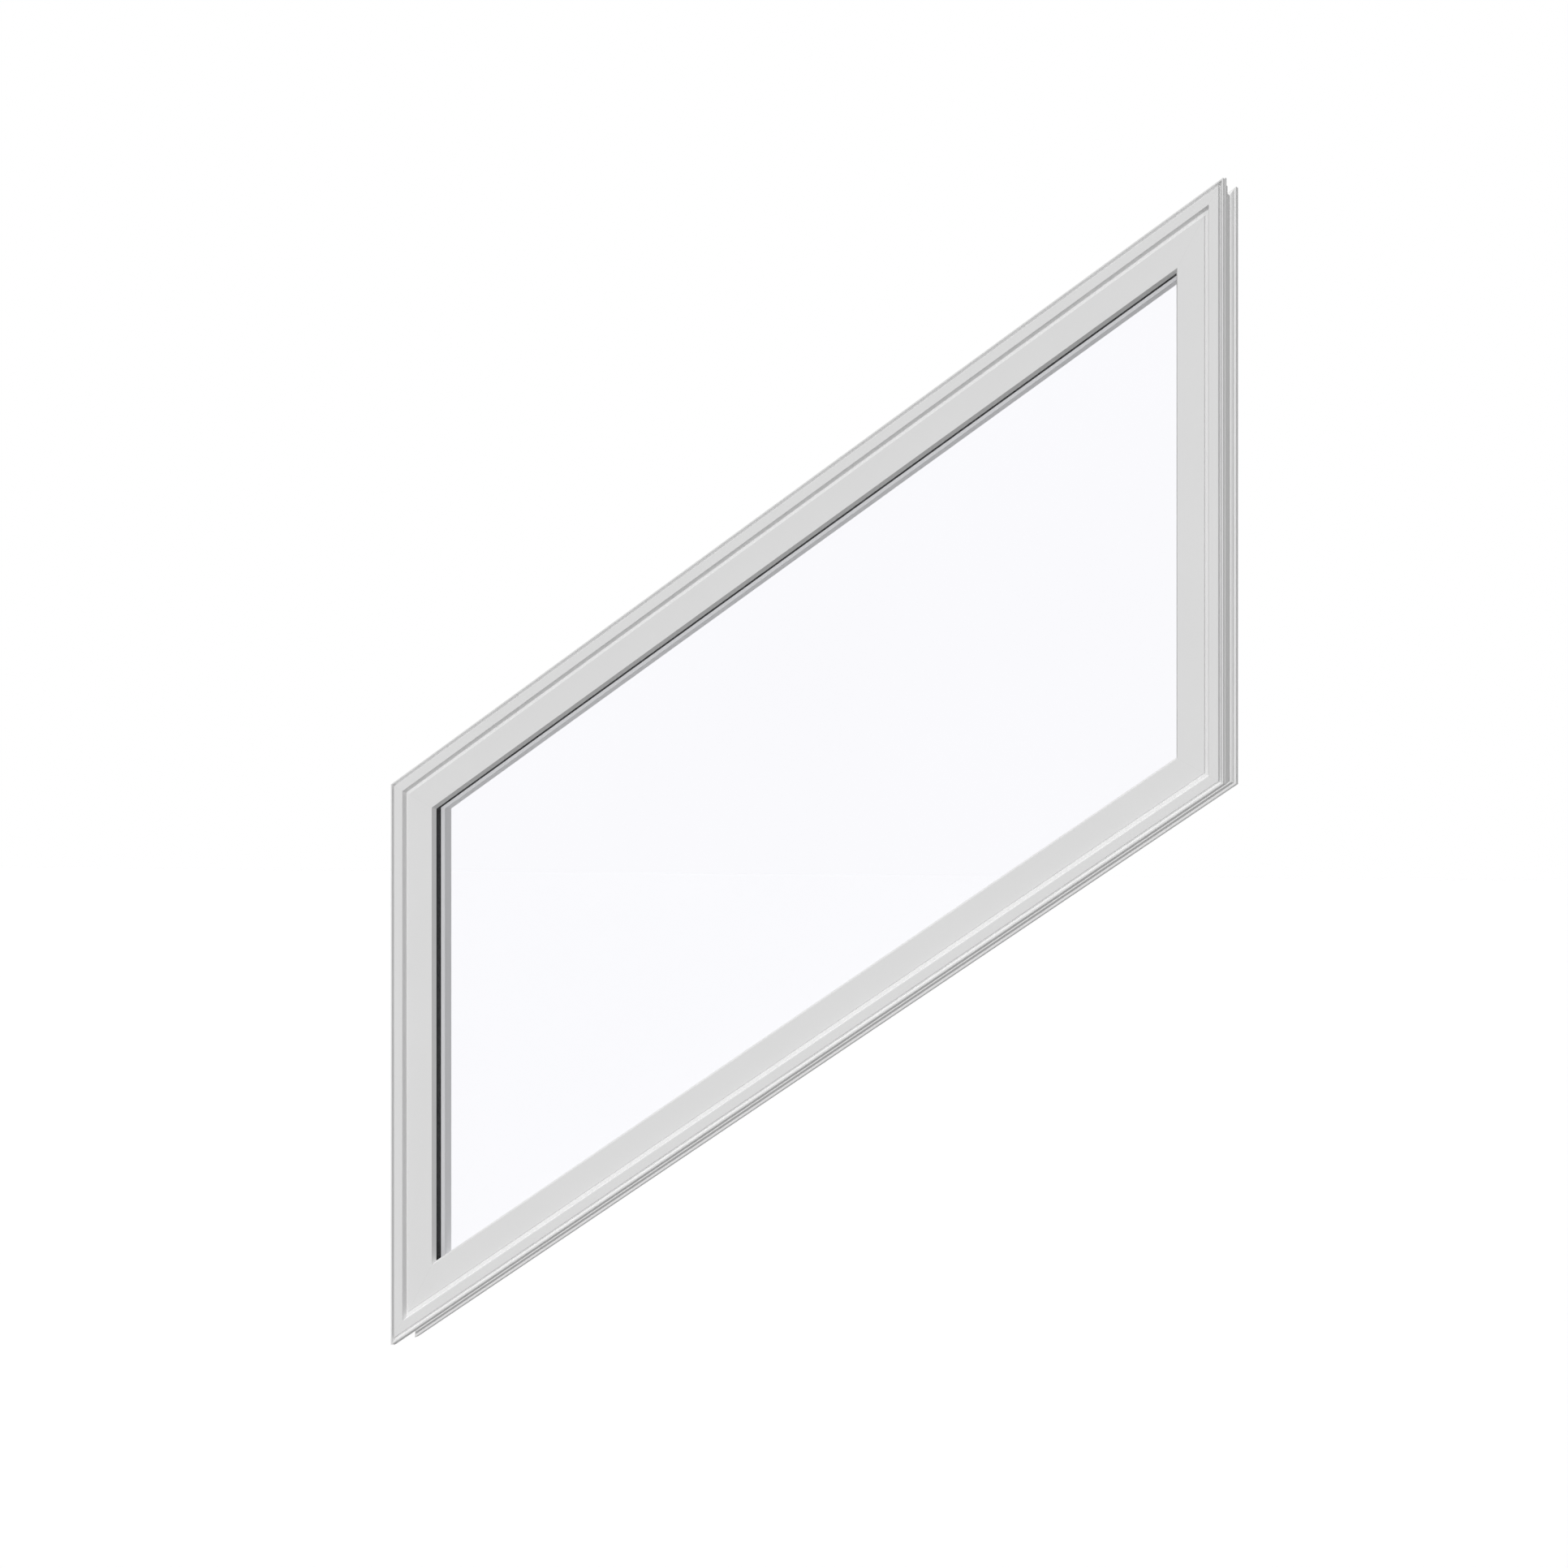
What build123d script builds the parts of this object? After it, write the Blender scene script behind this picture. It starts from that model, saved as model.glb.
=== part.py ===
"""Fixed parallelogram window: a welded vinyl frame, a fixed sash and a sealed double-glazed unit.

Both jambs stand upright, and the head and sill rise to the right. The outside faces -Y, +Z is up,
and the origin is on the flat rear face of the frame, in the middle of the sill.

Every long piece is an extrusion whose section is drawn in a plane square to its own side:
local x runs inward from the outline of the window, and local y runs back from the front face.
"""

import os
from math import atan2, cos, degrees, sin

from build123d import *

# Outline of the frame
width = 1080.0
jamb_height = 720.0
rise = 720.0

# Frame section: depths from the front face, then insets from the outline
frame_depth = 90.0
frame_sight = 23.9
frame_seat = 32.0
frame_wall = 2.5
lip_setback = 2.0
lip_inset = 0.9
lip_flat = 1.5
groove_depth = 9.0
groove_floor = 0.8
groove_rise = 0.6
band_outer = 6.1
band_inner = 17.7
band_radius = 0.4
reveal_run = 2.3
strip_depth = 8.6
rib_front = 12.0
rib_slope = 1.0
rib_back = 18.5
upper_recess = 3.0
upper_recess_end = 40.0
channel_inset = 6.3
channel_end = 71.6
catch_inset = 4.7
catch_slope = 1.9
flange_thickness = 12.0
flange_radius = 0.5

# Fixed sash, which fills the frame between the strip and the seat
sash_clearance = 0.1
sash_front = 4.8
sash_depth = 58.8
sash_wall = 2.4
sash_radius = 0.4
stop_edge = 56.6
stop_slope = 2.8
stop_thickness = 9.0
stop_radius = 0.3
pocket_floor = 44.0

# Sealed glass unit and what holds it in the sash
pane = 4.0
air_gap = 16.0
glass_edge_clearance = 3.5
spacer_cover = 2.8
spacer_height = 7.0
front_gasket = 1.2
rear_gasket = 3.0
gasket_inset = 0.8
gasket_width = 8.0
rear_gasket_cover = 5.8

# Snap-in bead on the room side
bead_clearance = 0.2
bead_wall = 1.8
bead_inset = 0.3
bead_foot = 3.0
bead_foot_depth = 2.2
bead_foot_place = 9.0
bead_lean = 1.8
bead_radius = 1.2

# Sizes that follow from those above
slope = atan2(rise, width)
overall_height = jamb_height + rise
sash_outer = frame_sight + sash_clearance
sash_back = sash_front + sash_depth
stop_back = sash_front + stop_thickness
stop_tip = stop_edge + stop_slope
glass_front = stop_back + front_gasket
inner_pane_front = glass_front + pane + air_gap
glass_back = inner_pane_front + pane
glass_edge = pocket_floor + glass_edge_clearance
spacer_inner = stop_tip - spacer_cover
bead_front = glass_back + rear_gasket
bead_inner = stop_tip - bead_inset
seat_front = sash_back
flange_front = frame_depth - flange_thickness
foot_front = sash_back - bead_foot_place
foot_back = foot_front + bead_foot

# The middle of the sill's rear face is the origin, so the window's centre lies above it.
sill_centre_inset = frame_seat / 2
centre_z = jamb_height / 2 - sill_centre_inset / cos(slope)

half_width = width / 2
half_height = jamb_height / 2
half_rise = rise / 2


def at(x, z):
    """A point at the front face, from the middle of the window."""
    return Vector(x, -frame_depth, centre_z + z)


# Each side's inward direction, square to the side
inward = {
    "jamb_left": Vector(1, 0, 0),
    "sill": Vector(-sin(slope), 0, cos(slope)),
    "jamb_right": Vector(-1, 0, 0),
    "head": Vector(sin(slope), 0, -cos(slope)),
}

# Each side's middle, on the outline
middle = {
    "jamb_left": at(-half_width, -half_rise),
    "sill": at(0, -half_height),
    "jamb_right": at(half_width, half_rise),
    "head": at(0, half_height),
}

# The four corners of the outline, each with the two sides that meet there
corners = {
    ("jamb_left", "sill"): at(-half_width, -half_height - half_rise),
    ("sill", "jamb_right"): at(half_width, -half_height + half_rise),
    ("jamb_right", "head"): at(half_width, half_height + half_rise),
    ("head", "jamb_left"): at(-half_width, half_height - half_rise),
}


def side_plane(side):
    """Section plane in the middle of a side: x points into the window, y points to the room."""
    run = inward[side].cross(Vector(0, 1, 0))
    return Plane(middle[side], x_dir=inward[side], z_dir=run)


def cut_mitres(side):
    """Trims the member under construction along the bisectors of its two corners."""
    for pair, corner in corners.items():
        if side in pair:
            neighbour = pair[1] if pair[0] == side else pair[0]
            bisector = Plane(corner, z_dir=inward[neighbour] - inward[side])
            split(bisect_by=bisector, keep=Keep.TOP)


def box(x0, y0, x1, y1, mode=Mode.ADD):
    """A rectangle of the section under construction, from corner to corner."""
    with Locations(((x0 + x1) / 2, (y0 + y1) / 2)):
        Rectangle(x1 - x0, y1 - y0, mode=mode)


def soften(section, radius, *points):
    """Rounds the corners at the given points of the section under construction."""
    chosen = [v for v in section.vertices() if any(abs(v.X - x) + abs(v.Y - y) < 1e-3 for x, y in points)]
    fillet(chosen, radius)


def frame_section(plane):
    """Main frame: lip, groove and proud band in front, catches and channel outside, flange behind."""
    inner = frame_sight - frame_wall
    outer = channel_inset + frame_wall
    front = groove_depth + frame_wall
    back = seat_front + frame_wall
    web = (front + back) / 2
    with BuildSketch(plane) as section:
        with BuildLine():
            Polyline(
                (lip_inset, lip_setback),
                (lip_inset + lip_flat, lip_setback),
                (band_outer - groove_floor, groove_depth),
                (band_outer, groove_depth - groove_rise),
                (band_outer, 0),
                (band_inner, 0),
                (band_inner + reveal_run, strip_depth),
                (frame_sight, strip_depth),
                (frame_sight, seat_front),
                (frame_seat, seat_front),
                (frame_seat, frame_depth),
                (0, frame_depth),
                (0, flange_front),
                (catch_inset - catch_slope, flange_front),
                (catch_inset - catch_slope, channel_end + catch_slope),
                (catch_inset, channel_end),
                (channel_inset, channel_end),
                (channel_inset, upper_recess_end),
                (upper_recess, upper_recess_end),
                (upper_recess, rib_back),
                (0, rib_back),
                (0, rib_front),
                (lip_inset, rib_front - rib_slope),
                close=True,
            )
        make_face()
        soften(section, band_radius, (band_outer, 0), (band_inner, 0))
        soften(section, flange_radius, (0, flange_front))
        box(band_outer + frame_wall, frame_wall, band_inner - frame_wall / 2, groove_depth, Mode.SUBTRACT)
        box(outer, front, inner, web - frame_wall / 2, Mode.SUBTRACT)
        box(outer, web + frame_wall / 2, inner, back, Mode.SUBTRACT)
        box(outer, back + frame_wall, frame_seat - frame_wall, frame_depth - frame_wall, Mode.SUBTRACT)
    return section.sketch


def sash_section(plane):
    """Fixed sash: a broad flat face that ends in a sloped glazing stop, and an open glass pocket."""
    groove = pocket_floor - bead_foot_depth - bead_clearance
    inner = groove - sash_wall
    outer = sash_outer + sash_wall
    front = sash_front + sash_wall
    back = sash_back - sash_wall
    web = (front + back) / 2
    with BuildSketch(plane) as section:
        with BuildLine():
            Polyline(
                (sash_outer, sash_front),
                (stop_edge, sash_front),
                (stop_tip, stop_back),
                (pocket_floor, stop_back),
                (pocket_floor, foot_front - bead_clearance),
                (groove, foot_front - bead_clearance),
                (groove, foot_back + bead_clearance),
                (pocket_floor, foot_back + bead_clearance),
                (pocket_floor, sash_back),
                (sash_outer, sash_back),
                close=True,
            )
        make_face()
        soften(section, sash_radius, (sash_outer, sash_front))
        soften(section, stop_radius, (stop_edge, sash_front), (stop_tip, stop_back))
        box(outer, front, inner, web - sash_wall / 2, Mode.SUBTRACT)
        box(outer, web + sash_wall / 2, inner, back, Mode.SUBTRACT)
        box(inner + sash_wall, front, stop_edge - sash_wall, stop_back - sash_wall, Mode.SUBTRACT)
    return section.sketch


def bead_section(plane):
    """Snap-in bead: a hollow bar that presses on the glass, with a foot in the sash's groove."""
    floor = pocket_floor + bead_clearance
    foot = floor - bead_foot_depth
    hollow = floor + bead_lean + bead_wall
    with BuildSketch(plane) as section:
        with BuildLine():
            Polyline(
                (floor + bead_lean, bead_front),
                (bead_inner, bead_front),
                (bead_inner, sash_back),
                (floor, sash_back),
                (floor, foot_back),
                (foot, foot_back),
                (foot, foot_front),
                (floor, foot_front),
                close=True,
            )
        make_face()
        soften(section, bead_radius, (bead_inner, sash_back))
        box(hollow, bead_front + bead_wall, bead_inner - bead_wall, sash_back - bead_wall, Mode.SUBTRACT)
    return section.sketch


def front_gasket_section(plane):
    """Black rubber between the glazing stop and the outer pane."""
    inner = stop_tip - gasket_inset
    with BuildSketch(plane) as section:
        box(inner - gasket_width, stop_back, inner, glass_front)
    return section.sketch


def rear_gasket_section(plane):
    """Black rubber between the inner pane and the bead."""
    with BuildSketch(plane) as section:
        box(glass_edge, glass_back, bead_inner - rear_gasket_cover, bead_front)
    return section.sketch


def spacer_section(plane):
    """Dark spacer bar between the two panes, just outside the sight line."""
    with BuildSketch(plane) as section:
        box(spacer_inner - spacer_height, glass_front + pane, spacer_inner, inner_pane_front)
    return section.sketch


# Long pieces: one mitred extrusion of each section on each of the four sides
sections = {
    "frame": frame_section,
    "sash": sash_section,
    "glazing_bead": bead_section,
    "front_gasket": front_gasket_section,
    "rear_gasket": rear_gasket_section,
    "spacer_bar": spacer_section,
}

os.makedirs("parts", exist_ok=True)

for section, draw in sections.items():
    for side in middle:
        with BuildPart() as member:
            extrude(draw(side_plane(side)), amount=width + overall_height, both=True)
            cut_mitres(side)
        member.part.label = f"{section}_{side}"
        export_step(member.part, f"parts/{section}_{side}.step")

# Glass: two equal panes, parallel to the front face
glass_half_width = half_width - glass_edge
glass_half_height = half_height - glass_edge / cos(slope)
glass_half_rise = glass_half_width * rise / width

for name, front in (("glass_outer", glass_front), ("glass_inner", inner_pane_front)):
    face = Plane(at(0, 0) + Vector(0, front, 0), x_dir=(1, 0, 0), z_dir=(0, -1, 0))
    with BuildPart() as sheet:
        with BuildSketch(face):
            with BuildLine():
                Polyline(
                    (-glass_half_width, -glass_half_height - glass_half_rise),
                    (glass_half_width, -glass_half_height + glass_half_rise),
                    (glass_half_width, glass_half_height + glass_half_rise),
                    (-glass_half_width, glass_half_height - glass_half_rise),
                    close=True,
                )
            make_face()
        extrude(amount=-pane)
    sheet.part.label = name
    export_step(sheet.part, f"parts/{name}.step")

print(f"sill and head slope {degrees(slope):.2f} degrees")
print(f"overall {width:.0f} wide, {overall_height:.0f} high, {frame_depth:.0f} deep")
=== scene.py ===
import math

import bpy
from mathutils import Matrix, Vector


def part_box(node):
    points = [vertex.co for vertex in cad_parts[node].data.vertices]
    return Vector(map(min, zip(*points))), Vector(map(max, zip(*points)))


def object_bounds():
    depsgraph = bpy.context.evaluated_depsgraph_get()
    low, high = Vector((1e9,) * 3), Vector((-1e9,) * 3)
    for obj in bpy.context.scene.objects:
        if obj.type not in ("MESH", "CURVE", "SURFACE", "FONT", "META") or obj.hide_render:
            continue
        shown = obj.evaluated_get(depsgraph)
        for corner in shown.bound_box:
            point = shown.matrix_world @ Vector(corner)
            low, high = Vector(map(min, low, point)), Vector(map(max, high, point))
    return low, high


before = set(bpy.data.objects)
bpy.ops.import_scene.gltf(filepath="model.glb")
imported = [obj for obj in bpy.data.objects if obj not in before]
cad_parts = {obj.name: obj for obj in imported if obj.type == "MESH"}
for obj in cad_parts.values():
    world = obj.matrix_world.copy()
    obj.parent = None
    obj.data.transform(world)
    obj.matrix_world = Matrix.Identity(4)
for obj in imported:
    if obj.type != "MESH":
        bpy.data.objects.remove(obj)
cad_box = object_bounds()

# Main frame: four hollow extrusions of white vinyl, cut on unequal mitres and welded at the corners.
# The melt is trimmed flush after welding, so a corner shows no more than a hair line, and the vinyl
# keeps faint draw lines that run the length of each member.
VINYL_WHITE = (0.760, 0.760, 0.760)
VINYL_ROUGHNESS = 0.55
ROUGHNESS_SPREAD = 0.05
VINYL_SHINE = 0.3
FRAME_LINES = 700.0
LINES_ALONG = 0.004
LINES_DETAIL = 2.0
LINES_STRENGTH = 0.25
LINES_DEPTH = 0.00002
MOTTLE_PER_METRE = 9.0
MOTTLE_DETAIL = 3.0
MOTTLE_RANGE = (0.3, 0.7)
MOTTLE_DARKEST = 0.985
SEAM_WIDTH = 0.0004
SEAM_SHADE = 0.05
SEAM_IN_LINES = 6.0

left_low, left_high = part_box("frame_jamb_left")
right_low, right_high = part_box("frame_jamb_right")
corner_low_left = Vector((left_low.x, 0, left_low.z))
corner_high_left = Vector((left_low.x, 0, left_high.z))
corner_low_right = Vector((right_high.x, 0, right_low.z))
corner_high_right = Vector((right_high.x, 0, right_high.z))

rail_run = (corner_low_right - corner_low_left).normalized()
jamb_run = Vector((0, 0, 1))
side_runs = {"jamb_left": jamb_run, "jamb_right": jamb_run, "sill": rail_run, "head": rail_run}

# Across a seam is the difference of the inward directions of the two sides that meet in it.
inward = {
    "jamb_left": Vector((1, 0, 0)),
    "jamb_right": Vector((-1, 0, 0)),
    "sill": Vector((-rail_run.z, 0, rail_run.x)),
    "head": Vector((rail_run.z, 0, -rail_run.x)),
}
corner_sides = (
    (corner_low_left, "jamb_left", "sill"),
    (corner_high_left, "jamb_left", "head"),
    (corner_low_right, "jamb_right", "sill"),
    (corner_high_right, "jamb_right", "head"),
)


def node(tree, kind, **settings):
    """A shader node in tree, with its named properties set."""
    made = tree.nodes.new(kind)
    for key, value in settings.items():
        setattr(made, key, value)
    return made


def feed(tree, source, made, name):
    """Links an output socket to an input of a node."""
    tree.links.new(source, made.inputs[name])


def group(name, inputs, outputs):
    """A new shader node group with its sockets, and its two end nodes."""
    tree = bpy.data.node_groups.new(name, "ShaderNodeTree")
    for label, kind, value in inputs:
        socket = tree.interface.new_socket(label, in_out="INPUT", socket_type=kind)
        socket.default_value = value
    for label in outputs:
        tree.interface.new_socket(label, in_out="OUTPUT", socket_type="NodeSocketFloat")
    return tree, node(tree, "NodeGroupInput"), node(tree, "NodeGroupOutput")


def noise(tree, place, detail):
    """A noise texture laid out in metres."""
    made = node(tree, "ShaderNodeTexNoise")
    made.inputs["Detail"].default_value = detail
    feed(tree, place, made, "Vector")
    return made


def grain_group():
    """Draw lines along an extrusion, and a slow unevenness of the vinyl."""
    tree, start, end = group(
        "vinyl_grain",
        (
            ("Run", "NodeSocketVector", jamb_run),
            ("Lines per Metre", "NodeSocketFloat", FRAME_LINES),
            ("Mottle per Metre", "NodeSocketFloat", MOTTLE_PER_METRE),
        ),
        ("Lines", "Mottle"),
    )
    place = node(tree, "ShaderNodeTexCoord")
    along = node(tree, "ShaderNodeVectorMath", operation="DOT_PRODUCT")
    feed(tree, place.outputs["Object"], along, 0)
    feed(tree, start.outputs["Run"], along, 1)
    back = node(tree, "ShaderNodeVectorMath", operation="SCALE")
    feed(tree, start.outputs["Run"], back, 0)
    feed(tree, along.outputs["Value"], back, "Scale")
    section = node(tree, "ShaderNodeVectorMath", operation="SUBTRACT")
    feed(tree, place.outputs["Object"], section, 0)
    feed(tree, back.outputs["Vector"], section, 1)
    slow = node(tree, "ShaderNodeVectorMath", operation="SCALE")
    slow.inputs["Scale"].default_value = LINES_ALONG
    feed(tree, back.outputs["Vector"], slow, 0)
    drawn = node(tree, "ShaderNodeVectorMath", operation="ADD")
    feed(tree, section.outputs["Vector"], drawn, 0)
    feed(tree, slow.outputs["Vector"], drawn, 1)
    lines = noise(tree, drawn.outputs["Vector"], LINES_DETAIL)
    feed(tree, start.outputs["Lines per Metre"], lines, "Scale")
    mottle = noise(tree, place.outputs["Object"], MOTTLE_DETAIL)
    feed(tree, start.outputs["Mottle per Metre"], mottle, "Scale")
    feed(tree, lines.outputs["Fac"], end, "Lines")
    feed(tree, mottle.outputs["Fac"], end, "Mottle")
    return tree


def seam_group():
    """A hair line along one mitre: 1 on the plane through Corner, square to Across, and 0 away from it."""
    tree, start, end = group(
        "weld_seam",
        (
            ("Corner", "NodeSocketVector", (0, 0, 0)),
            ("Across", "NodeSocketVector", (1, 0, 0)),
            ("Width", "NodeSocketFloat", SEAM_WIDTH),
        ),
        ("Seam",),
    )
    place = node(tree, "ShaderNodeTexCoord")
    offset = node(tree, "ShaderNodeVectorMath", operation="SUBTRACT")
    feed(tree, place.outputs["Object"], offset, 0)
    feed(tree, start.outputs["Corner"], offset, 1)
    distance = node(tree, "ShaderNodeVectorMath", operation="DOT_PRODUCT")
    feed(tree, offset.outputs["Vector"], distance, 0)
    feed(tree, start.outputs["Across"], distance, 1)
    size = node(tree, "ShaderNodeMath", operation="ABSOLUTE")
    feed(tree, distance.outputs["Value"], size, 0)
    mask = node(tree, "ShaderNodeMapRange", interpolation_type="SMOOTHSTEP")
    mask.inputs["To Min"].default_value = 1.0
    mask.inputs["To Max"].default_value = 0.0
    feed(tree, size.outputs["Value"], mask, "Value")
    feed(tree, start.outputs["Width"], mask, "From Max")
    feed(tree, mask.outputs["Result"], end, "Seam")
    return tree


vinyl_grain = grain_group()
weld_seam = seam_group()


def placed(tree, made_group, **values):
    """A node group placed in a material, with the values of its inputs."""
    made = node(tree, "ShaderNodeGroup", node_tree=made_group)
    for label, value in values.items():
        made.inputs[label.replace("_", " ")].default_value = value
    return made


def material(name):
    """An empty node material, its tree and its Principled shader."""
    made = bpy.data.materials.new(name)
    made.use_nodes = True
    return made, made.node_tree, made.node_tree.nodes["Principled BSDF"]


def spread(tree, source, low, high, start=0.0, stop=1.0):
    """Carries a value that runs from start to stop over to the span from low to high."""
    made = node(tree, "ShaderNodeMapRange")
    made.inputs["From Min"].default_value = start
    made.inputs["From Max"].default_value = stop
    made.inputs["To Min"].default_value = low
    made.inputs["To Max"].default_value = high
    feed(tree, source, made, "Value")
    return made.outputs["Result"]


def add_scaled(tree, source, factor, base):
    """The source times a factor, added to base."""
    made = node(tree, "ShaderNodeMath", operation="MULTIPLY_ADD")
    made.inputs[1].default_value = factor
    feed(tree, source, made, 0)
    feed(tree, base, made, 2)
    return made.outputs["Value"]


def tint(tree, colour, strength, shader):
    """Gives the shader a colour of varying strength."""
    made = node(tree, "ShaderNodeVectorMath", operation="SCALE")
    made.inputs[0].default_value = colour
    feed(tree, strength, made, "Scale")
    feed(tree, made.outputs["Vector"], shader, "Base Color")


def relieve(tree, height, shader, strength, depth):
    """Gives the shader a fine relief."""
    made = node(tree, "ShaderNodeBump")
    made.inputs["Strength"].default_value = strength
    made.inputs["Distance"].default_value = depth
    feed(tree, height, made, "Height")
    feed(tree, made.outputs["Normal"], shader, "Normal")


def vinyl(name, side, white, roughness, lines):
    """White vinyl of one member, with its draw lines along the side and its two weld seams."""
    made, tree, shader = material(name)
    shader.inputs["Specular IOR Level"].default_value = VINYL_SHINE
    grain = placed(tree, vinyl_grain, Run=side_runs[side], Lines_per_Metre=lines)
    mottle = grain.outputs["Mottle"]

    seam = node(tree, "ShaderNodeMath", operation="MAXIMUM")
    corners = [meeting for meeting in corner_sides if side in meeting[1:]]
    for number, (corner, one_side, other_side) in enumerate(corners):
        across = (inward[one_side] - inward[other_side]).normalized()
        line = placed(tree, weld_seam, Corner=corner, Across=across)
        feed(tree, line.outputs["Seam"], seam, number)

    tone = spread(tree, mottle, MOTTLE_DARKEST, 1.0, *MOTTLE_RANGE)
    tint(tree, white, add_scaled(tree, seam.outputs["Value"], -SEAM_SHADE, tone), shader)
    satin = spread(tree, mottle, roughness - ROUGHNESS_SPREAD, roughness + ROUGHNESS_SPREAD)
    feed(tree, satin, shader, "Roughness")
    height = add_scaled(tree, seam.outputs["Value"], -SEAM_IN_LINES, grain.outputs["Lines"])
    relieve(tree, height, shader, LINES_STRENGTH, LINES_DEPTH)
    return made


def dress(piece_name, finish):
    """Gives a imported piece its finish."""
    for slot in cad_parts[piece_name].material_slots:
        slot.material = finish


for side in side_runs:
    finish = vinyl(f"frame_vinyl_{side}", side, VINYL_WHITE, VINYL_ROUGHNESS, FRAME_LINES)
    dress(f"frame_{side}", finish)

# Fixed sash: a second welded ring of the same white vinyl, set in the frame. Its broad flat face ends in
# the sloped stop that the glass is pressed against from the room side.
SASH_LINES = 600.0
for side in side_runs:
    finish = vinyl(f"sash_vinyl_{side}", side, VINYL_WHITE, VINYL_ROUGHNESS, SASH_LINES)
    dress(f"sash_{side}", finish)

# Glazing beads: slim hollow bars of a slightly whiter vinyl, cut on the same mitres and snapped into the
# sash from the room side. Through the glass they show as a light ledge and a deep reveal. Their colour is
# partly that whiter vinyl and partly painted light, lifting them against the shade of the deep recess.
# Painted light: whiter than the frame's vinyl, partly its own colour and partly to make up for the recess's
# shade.
BEAD_WHITE_AND_PAINTED_LIGHT = (0.860, 0.860, 0.860)
BEAD_ROUGHNESS = 0.5
BEAD_LINES = 900.0
for side in side_runs:
    finish = vinyl(f"bead_vinyl_{side}", side, BEAD_WHITE_AND_PAINTED_LIGHT, BEAD_ROUGHNESS, BEAD_LINES)
    dress(f"glazing_bead_{side}", finish)

# Gaskets: strips of soft black rubber in front of the outer pane and behind the inner one, cut at the
# corners. The rubber is dull, with a fine even grain.
RUBBER_BLACK = (0.022, 0.022, 0.024)
RUBBER_ROUGHNESS = 0.62
RUBBER_GRAIN = 1800.0
RUBBER_GRAIN_DETAIL = 2.0
RUBBER_TONES = (0.8, 1.2)
RUBBER_RELIEF = (0.3, 0.00005)


def rubber():
    """Dull black rubber with a fine grain."""
    made, tree, shader = material("gasket_rubber")
    shader.inputs["Roughness"].default_value = RUBBER_ROUGHNESS
    place = node(tree, "ShaderNodeTexCoord")
    grain = noise(tree, place.outputs["Object"], RUBBER_GRAIN_DETAIL)
    grain.inputs["Scale"].default_value = RUBBER_GRAIN
    tint(tree, RUBBER_BLACK, spread(tree, grain.outputs["Fac"], *RUBBER_TONES), shader)
    relieve(tree, grain.outputs["Fac"], shader, *RUBBER_RELIEF)
    return made


gasket_rubber = rubber()
for side in side_runs:
    dress(f"front_gasket_{side}", gasket_rubber)
    dress(f"rear_gasket_{side}", gasket_rubber)

# Spacer bars: black composite bars between the panes, just outside the sight line. At the left and at the
# head they show through the outer pane as a black line, with a matt face and rows of fine pinholes, which
# are painted darker as painted shade inside the holes.
SPACER_BLACK = (0.008, 0.008, 0.009)
SPACER_ROUGHNESS = 0.6
SPACER_SHINE = 0.1
SPACER_PINHOLE_SHADE = (0.5, 1.0)
SPACER_RELIEF = (0.5, 0.0002)
PINHOLES_PER_METRE = 330.0
PINHOLE_SCATTER = 0.2
PINHOLE_EDGE = (0.1, 0.25)


def spacer():
    """Matt black composite, pricked with pinholes that are painted darker as painted shade in the holes."""
    made, tree, shader = material("spacer_black")
    shader.inputs["Roughness"].default_value = SPACER_ROUGHNESS
    shader.inputs["Specular IOR Level"].default_value = SPACER_SHINE
    place = node(tree, "ShaderNodeTexCoord")
    holes = node(tree, "ShaderNodeTexVoronoi")
    holes.inputs["Scale"].default_value = PINHOLES_PER_METRE
    holes.inputs["Randomness"].default_value = PINHOLE_SCATTER
    feed(tree, place.outputs["Object"], holes, "Vector")
    pinhole_shade_and_dent = spread(tree, holes.outputs["Distance"], 0.0, 1.0, *PINHOLE_EDGE)
    # Painted shade: each pinhole is darkened in colour, as if in shade, and dented by the relief.
    tint(tree, SPACER_BLACK, spread(tree, pinhole_shade_and_dent, *SPACER_PINHOLE_SHADE), shader)
    relieve(tree, pinhole_shade_and_dent, shader, *SPACER_RELIEF)
    return made


spacer_black = spacer()
for side in side_runs:
    dress(f"spacer_bar_{side}", spacer_black)

# Panes: two sheets of clear float glass, 16 mm apart, sealed at their edges. The glass is nearly colourless,
# with the faintest cool tint, coated to reflect little, and lets the light through to the bead behind it.
GLASS_TINT = (0.983, 0.983, 0.997)
GLASS_PASSES = (1, 1, 1, 1)
GLASS_IOR = 1.2
HAZE_PER_METRE = 3.0
HAZE_DETAIL = 2.0
HAZE_TONES = (0.99, 1.0)


def clear_glass():
    """Clear float glass that lets lamps and thrown-back light through."""
    made, tree, shader = material("clear_glass")
    shader.inputs["Roughness"].default_value = 0.0
    shader.inputs["IOR"].default_value = GLASS_IOR
    shader.inputs["Transmission Weight"].default_value = 1.0
    place = node(tree, "ShaderNodeTexCoord")
    haze = noise(tree, place.outputs["Object"], HAZE_DETAIL)
    haze.inputs["Scale"].default_value = HAZE_PER_METRE
    tint(tree, GLASS_TINT, spread(tree, haze.outputs["Fac"], *HAZE_TONES), shader)
    rays = node(tree, "ShaderNodeLightPath")
    through = node(tree, "ShaderNodeBsdfTransparent")
    through.inputs["Color"].default_value = GLASS_PASSES
    surface = shader.outputs["BSDF"]
    for kind in ("Is Diffuse Ray", "Is Shadow Ray"):
        either = node(tree, "ShaderNodeMixShader")
        feed(tree, rays.outputs[kind], either, 0)
        feed(tree, surface, either, 1)
        feed(tree, through.outputs["BSDF"], either, 2)
        surface = either.outputs["Shader"]
    feed(tree, surface, tree.nodes["Material Output"], "Surface")
    return made


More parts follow.
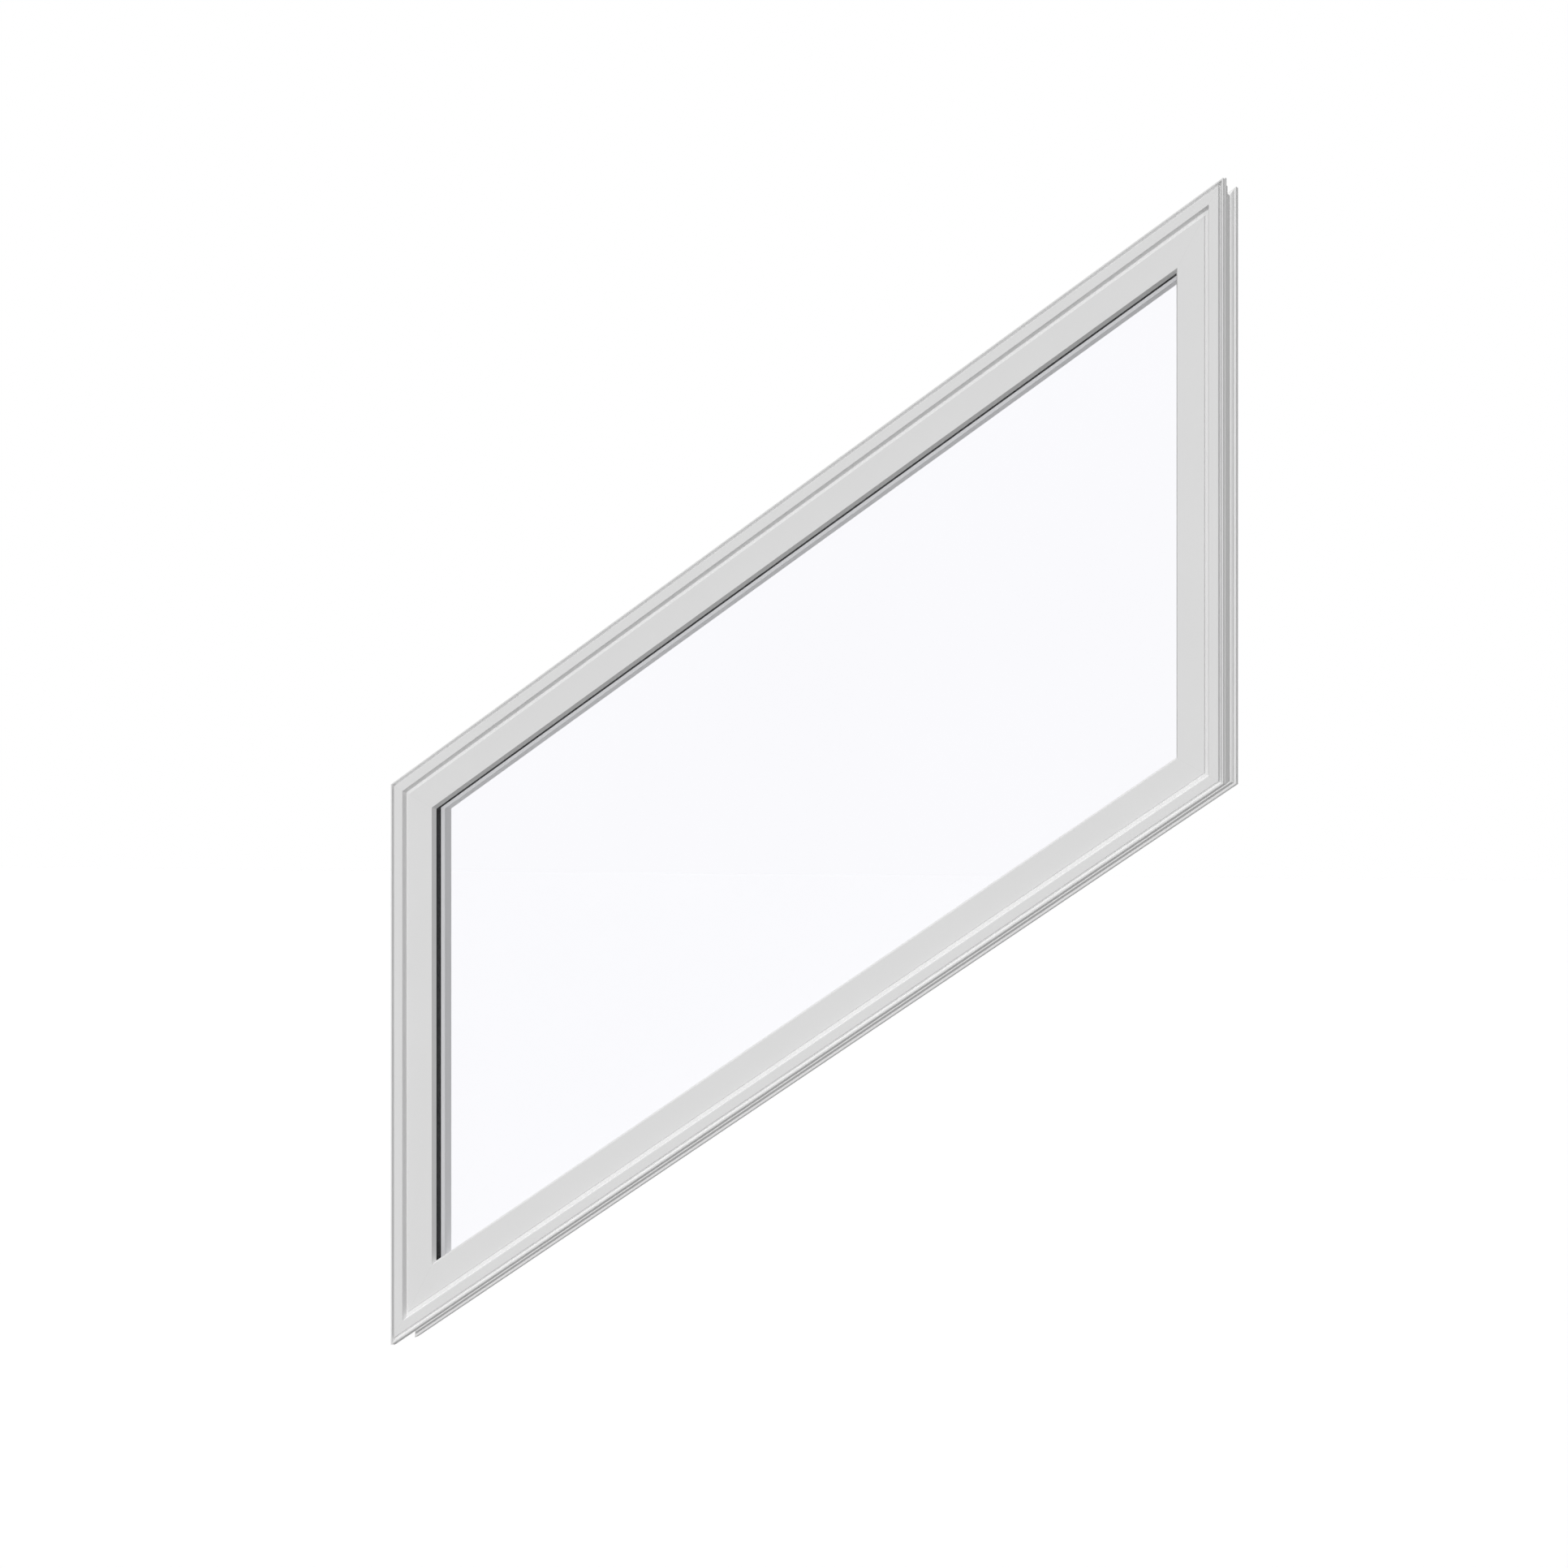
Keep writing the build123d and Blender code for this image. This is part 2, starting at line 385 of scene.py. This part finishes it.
pane_glass = clear_glass()
for pane in ("glass_outer", "glass_inner"):
    dress(pane, pane_glass)

# Floor: a plain pale floor, as far below the window as it would hang in a wall. Seen directly or in the
# glass it is white, and it throws back less light than it shows.
SILL_HEIGHT = 1.0
FLOOR_HALF = 60.0
FLOOR_SEEN = (0.87, 0.87, 0.87, 1)
FLOOR_BOUNCE = (0.25, 0.25, 0.25, 1)
FLOOR_ROUGHNESS = 0.9


def seen_ray(tree):
    """1 for what the camera sees directly, in a reflection or through glass, else 0."""
    rays = node(tree, "ShaderNodeLightPath")
    seen = rays.outputs["Is Camera Ray"]
    for kind in ("Is Glossy Ray", "Is Transmission Ray"):
        either = node(tree, "ShaderNodeMath", operation="MAXIMUM")
        feed(tree, seen, either, 0)
        feed(tree, rays.outputs[kind], either, 1)
        seen = either.outputs["Value"]
    return seen


floor_mesh = bpy.data.meshes.new("floor")
floor_height = cad_box[0].z - SILL_HEIGHT
floor_mesh.from_pydata(
    [
        (-FLOOR_HALF, -FLOOR_HALF, floor_height),
        (FLOOR_HALF, -FLOOR_HALF, floor_height),
        (FLOOR_HALF, FLOOR_HALF, floor_height),
        (-FLOOR_HALF, FLOOR_HALF, floor_height),
    ],
    [],
    [(0, 1, 2, 3)],
)
floor = bpy.data.objects.new("floor", floor_mesh)
bpy.context.scene.collection.objects.link(floor)
floor_paint, floor_tree, floor_shader = material("floor_paint")
floor_shader.inputs["Roughness"].default_value = FLOOR_ROUGHNESS
floor_shader.inputs["Specular IOR Level"].default_value = 0.0
floor_colour = node(floor_tree, "ShaderNodeMix", data_type="RGBA")
floor_colour.inputs["A"].default_value = FLOOR_BOUNCE
floor_colour.inputs["B"].default_value = FLOOR_SEEN
feed(floor_tree, seen_ray(floor_tree), floor_colour, "Factor")
feed(floor_tree, floor_colour.outputs["Result"], floor_shader, "Base Color")
floor_mesh.materials.append(floor_paint)

# Light: a pale surround, an even fill from above and below, a soft key lamp high in front, a lamp overhead
# that lays the window's shadow on the floor, and a weak one behind for the room side. The fill and the key
# reach into every groove, so upward faces come out nearly white, the front light grey and the sides darker.
SURROUND = 0.25
FILL_ABOVE = 0.35
FILL_BELOW = 1.3
FILL_ANGLE = math.radians(180)
KEY_LAMP = 2.55
KEY_TOWARD = (0, 0.692, -0.722)
TOP_LAMP = 0.6
BACK_LAMP = 1.1
LAMP_ANGLE = math.radians(30)

world = bpy.data.worlds.new("surround")
bpy.context.scene.world = world
world.use_nodes = True
surround = world.node_tree.nodes["Background"]
surround.inputs["Color"].default_value = (1, 1, 1, 1)
level = spread(world.node_tree, seen_ray(world.node_tree), SURROUND, 1.0)
feed(world.node_tree, level, surround, "Strength")


def lamp(name, strength, toward, angle=LAMP_ANGLE, shadow=False, shine=True):
    """A soft distant lamp that shines along a direction, with or without a shadow and a shine."""
    light = bpy.data.lights.new(name, "SUN")
    light.energy = strength
    light.angle = angle
    light.use_shadow = shadow
    made = bpy.data.objects.new(name, light)
    made.rotation_mode = "QUATERNION"
    made.rotation_quaternion = Vector(toward).to_track_quat("-Z", "Y")
    made.visible_glossy = shine
    made.visible_transmission = shine
    bpy.context.scene.collection.objects.link(made)


lamp("fill_above", FILL_ABOVE, (0, 0, -1), angle=FILL_ANGLE, shine=False)
lamp("fill_below", FILL_BELOW, (0, 0, 1), angle=FILL_ANGLE, shine=False)
lamp("key_lamp", KEY_LAMP, KEY_TOWARD, shine=False)
lamp("top_lamp", TOP_LAMP, (0, 0, -1), shadow=True)
lamp("back_lamp", BACK_LAMP, (0, -1, 0), shine=False)

# Camera: level with the window's middle and a little to its right, with a view 25 degrees wide. It looks
# straight ahead, so the upright jambs stay upright in the picture.
CAMERA_DISTANCE = 4.3534
CAMERA_TURN = math.radians(18.325)
CAMERA_ASIDE = 0.0077
CAMERA_VIEW = math.radians(25.02)
CAMERA_REACH = 500.0
SENSOR = 36.0

middle = (cad_box[0] + cad_box[1]) / 2
to_right = Vector((math.cos(CAMERA_TURN), math.sin(CAMERA_TURN), 0))
ahead = Vector((-math.sin(CAMERA_TURN), math.cos(CAMERA_TURN), 0))
camera_data = bpy.data.cameras.new("camera")
camera_data.sensor_width = SENSOR
camera_data.lens = SENSOR / 2 / math.tan(CAMERA_VIEW / 2)
camera_data.clip_end = CAMERA_REACH
camera = bpy.data.objects.new("camera", camera_data)
front = Vector((middle.x, cad_box[0].y, middle.z))
camera.location = front - ahead * CAMERA_DISTANCE - to_right * CAMERA_ASIDE
camera.rotation_mode = "QUATERNION"
camera.rotation_quaternion = ahead.to_track_quat("-Z", "Y")
bpy.context.scene.collection.objects.link(camera)
bpy.context.scene.camera = camera
bpy.context.scene.view_settings.view_transform = "Standard"
